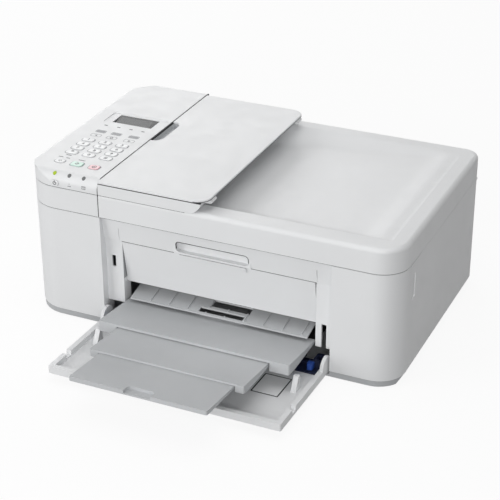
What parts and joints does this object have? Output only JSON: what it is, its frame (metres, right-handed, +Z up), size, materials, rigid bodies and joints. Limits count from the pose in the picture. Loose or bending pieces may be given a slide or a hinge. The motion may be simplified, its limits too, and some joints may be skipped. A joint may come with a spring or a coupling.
{
  "type": "inkjet printer",
  "caption": "Desktop inkjet all-in-one with a hinged scanner lid, top document feeder, key panel, drop-down output cover, telescopic output tray and a pull-out front paper tray.",
  "frame": {"origin": "on the table, at the bottom centre of the whole part's box with the output tray drawn out", "axes": "+X to the right of someone facing the machine, +Y from its front to its back, +Z up"},
  "size_m": [0.4696, 0.481, 0.1893],
  "materials": {
    "white_shell": "fine satin moulding grain",
    "bed_white": "satin",
    "tray_grey": "satin",
    "base_grey": "satin",
    "inner_black": "satin",
    "guide_navy": "satin",
    "steel": "zinc plated sheet",
    "rubber": "matt",
    "scan_glass": "clear float glass",
    "circuit": "solder resist",
    "display": "smoked clear window",
    "lamp": "tinted clear lens",
    "key_white": "satin",
    "key_green": "satin",
    "key_red": "satin"
  },
  "bodies": {
    "base": {"base_pan": "base_grey", "rubber_feet": "rubber", "left_cover": "white_shell", "right_cover": "white_shell", "rear_panel": "white_shell", "sockets": "inner_black", "grip_bezel": "white_shell", "front_trim": "white_shell", "scanner_bed": "bed_white", "scan_glass": "scan_glass", "panel_body": "white_shell", "panel_face": "white_shell", "panel_board": "circuit", "lcd_module": "display", "lamp_lenses": "lamp", "main_chassis": "steel", "print_platen": "inner_black", "eject_guide": "tray_grey", "drive_motors": "steel", "carriage_belt": "inner_black", "maintenance_unit": "inner_black", "main_board": "circuit", "power_supply": "steel"},
    "lid": {"lid_shell": "white_shell", "document_pad": "bed_white", "feeder_body": "white_shell"},
    "document_flap": {"document_tray": "white_shell"},
    "output_door": {"output_cover": "white_shell"},
    "paper_tray": {"front_tray": "white_shell"},
    "stage_one": {"output_tray": "tray_grey"},
    "stage_two": {"output_slide": "tray_grey"},
    "stage_three": {"output_extension": "tray_grey"},
    "guide_right": {"paper_guide_right": "guide_navy"},
    "guide_left": {"paper_guide_left": "guide_navy"},
    "rear_door": {"rear_cover": "white_shell"},
    "print_carriage": {"carriage": "inner_black", "ink_cartridges": "inner_black"},
    "scan_carriage": {"scan_head": "inner_black"},
    "feed_shaft": {"feed_roller": "steel"},
    "eject_shaft": {"eject_roller": "steel"},
    "pick_shaft": {"pick_roller": "rubber"},
    "feeder_shaft": {"feeder_roller": "rubber"},
    "sheet_guide_front": {"document_guide_front": "inner_black"},
    "sheet_guide_rear": {"document_guide_rear": "inner_black"},
    "power_button": {"key_power": "key_white"},
    "start_button": {"key_start": "key_green"},
    "stop_button": {"key_stop": "key_red"},
    "colour_button": {"key_colour": "key_white"},
    "1_button": {"key_1": "key_white"},
    "2_button": {"key_2": "key_white"},
    "3_button": {"key_3": "key_white"},
    "4_button": {"key_4": "key_white"},
    "5_button": {"key_5": "key_white"},
    "6_button": {"key_6": "key_white"},
    "7_button": {"key_7": "key_white"},
    "8_button": {"key_8": "key_white"},
    "9_button": {"key_9": "key_white"},
    "star_button": {"key_star": "key_white"},
    "0_button": {"key_0": "key_white"},
    "hash_button": {"key_hash": "key_white"}
  },
  "joints": [
    {"name": "lid_hinge", "type": "hinge", "parent": "base", "child": "lid", "pos_m": [0.01175, 0.23748, 0.1434], "axis": [-1, 0, 0], "range_deg": [0, 75]},
    {"name": "document_tray_hinge", "type": "hinge", "parent": "lid", "child": "document_flap", "pos_m": [0.00385, 0.09298, 0.1838], "axis": [0, 1, 0], "range_deg": [0, 160]},
    {"name": "output_cover_hinge", "type": "hinge", "parent": "base", "child": "output_door", "pos_m": [0.01175, -0.03382, 0.058], "axis": [1, 0, 0], "range_deg": [0, 78]},
    {"name": "front_tray_slide", "type": "slide", "parent": "base", "child": "paper_tray", "axis": [0, 1, 0], "range_m": [0, 0.12]},
    {"name": "output_tray_slide", "type": "slide", "parent": "base", "child": "stage_one", "axis": [0, 0.9925, -0.1219], "range_m": [0, 0.056]},
    {"name": "output_slide_slide", "type": "slide", "parent": "stage_one", "child": "stage_two", "axis": [0, 0.9925, -0.1219], "range_m": [0, 0.0635]},
    {"name": "output_extension_slide", "type": "slide", "parent": "stage_two", "child": "stage_three", "axis": [0, 0.9925, -0.1219], "range_m": [0, 0.0655]},
    {"name": "paper_guide_slide", "type": "slide", "parent": "paper_tray", "child": "guide_right", "axis": [-1, 0, 0], "range_m": [0, 0.054]},
    {"name": "paper_guide_follow", "type": "slide", "parent": "paper_tray", "child": "guide_left", "axis": [1, 0, 0], "range_m": [0, 0.054]},
    {"name": "rear_cover_hinge", "type": "hinge", "parent": "base", "child": "rear_door", "pos_m": [0.01175, 0.23938, 0.024], "axis": [-1, 0, 0], "range_deg": [0, 45]},
    {"name": "carriage_slide", "type": "slide", "parent": "base", "child": "print_carriage", "axis": [1, 0, 0], "range_m": [-0.29, 0]},
    {"name": "scan_head_slide", "type": "slide", "parent": "base", "child": "scan_carriage", "axis": [1, 0, 0], "range_m": [0, 0.296]},
    {"name": "feed_roller_spin", "type": "hinge", "parent": "base", "child": "feed_shaft", "pos_m": [0.01175, 0.07748, 0.0455], "axis": [1, 0, 0], "continuous": true},
    {"name": "eject_roller_spin", "type": "hinge", "parent": "base", "child": "eject_shaft", "pos_m": [0.01175, 0.01048, 0.0466], "axis": [1, 0, 0], "continuous": true},
    {"name": "pick_roller_spin", "type": "hinge", "parent": "base", "child": "pick_shaft", "pos_m": [0.01175, 0.11348, 0.027], "axis": [1, 0, 0], "continuous": true},
    {"name": "feeder_roller_spin", "type": "hinge", "parent": "lid", "child": "feeder_shaft", "pos_m": [-0.10865, 0.09298, 0.1788], "axis": [0, 1, 0], "continuous": true},
    {"name": "document_guide_slide", "type": "slide", "parent": "lid", "child": "sheet_guide_front", "axis": [0, 1, 0], "range_m": [0, 0.035]},
    {"name": "document_guide_follow", "type": "slide", "parent": "lid", "child": "sheet_guide_rear", "axis": [0, -1, 0], "range_m": [0, 0.035]},
    {"name": "power_key_press", "type": "slide", "parent": "base", "child": "power_button", "axis": [0, 1, 0], "range_m": [0, 0.001], "stiffness_N_per_m": 200},
    {"name": "start_key_press", "type": "slide", "parent": "base", "child": "start_button", "axis": [0, 0, -1], "range_m": [0, 0.001], "stiffness_N_per_m": 200},
    {"name": "stop_key_press", "type": "slide", "parent": "base", "child": "stop_button", "axis": [0, 0, -1], "range_m": [0, 0.001], "stiffness_N_per_m": 200},
    {"name": "colour_key_press", "type": "slide", "parent": "base", "child": "colour_button", "axis": [0, 0, -1], "range_m": [0, 0.001], "stiffness_N_per_m": 200},
    {"name": "1_key_press", "type": "slide", "parent": "base", "child": "1_button", "axis": [0, 0, -1], "range_m": [0, 0.001], "stiffness_N_per_m": 200},
    {"name": "2_key_press", "type": "slide", "parent": "base", "child": "2_button", "axis": [0, 0, -1], "range_m": [0, 0.001], "stiffness_N_per_m": 200},
    {"name": "3_key_press", "type": "slide", "parent": "base", "child": "3_button", "axis": [0, 0, -1], "range_m": [0, 0.001], "stiffness_N_per_m": 200},
    {"name": "4_key_press", "type": "slide", "parent": "base", "child": "4_button", "axis": [0, 0, -1], "range_m": [0, 0.001], "stiffness_N_per_m": 200},
    {"name": "5_key_press", "type": "slide", "parent": "base", "child": "5_button", "axis": [0, 0, -1], "range_m": [0, 0.001], "stiffness_N_per_m": 200},
    {"name": "6_key_press", "type": "slide", "parent": "base", "child": "6_button", "axis": [0, 0, -1], "range_m": [0, 0.001], "stiffness_N_per_m": 200},
    {"name": "7_key_press", "type": "slide", "parent": "base", "child": "7_button", "axis": [0, 0, -1], "range_m": [0, 0.001], "stiffness_N_per_m": 200},
    {"name": "8_key_press", "type": "slide", "parent": "base", "child": "8_button", "axis": [0, 0, -1], "range_m": [0, 0.001], "stiffness_N_per_m": 200},
    {"name": "9_key_press", "type": "slide", "parent": "base", "child": "9_button", "axis": [0, 0, -1], "range_m": [0, 0.001], "stiffness_N_per_m": 200},
    {"name": "star_key_press", "type": "slide", "parent": "base", "child": "star_button", "axis": [0, 0, -1], "range_m": [0, 0.001], "stiffness_N_per_m": 200},
    {"name": "0_key_press", "type": "slide", "parent": "base", "child": "0_button", "axis": [0, 0, -1], "range_m": [0, 0.001], "stiffness_N_per_m": 200},
    {"name": "hash_key_press", "type": "slide", "parent": "base", "child": "hash_button", "axis": [0, 0, -1], "range_m": [0, 0.001], "stiffness_N_per_m": 200}
  ],
  "couplings": [
    {"joint": "paper_guide_follow", "follows": "paper_guide_slide", "ratio": 1},
    {"joint": "eject_roller_spin", "follows": "feed_roller_spin", "ratio": 1.1957},
    {"joint": "document_guide_follow", "follows": "document_guide_slide", "ratio": 1}
  ]
}
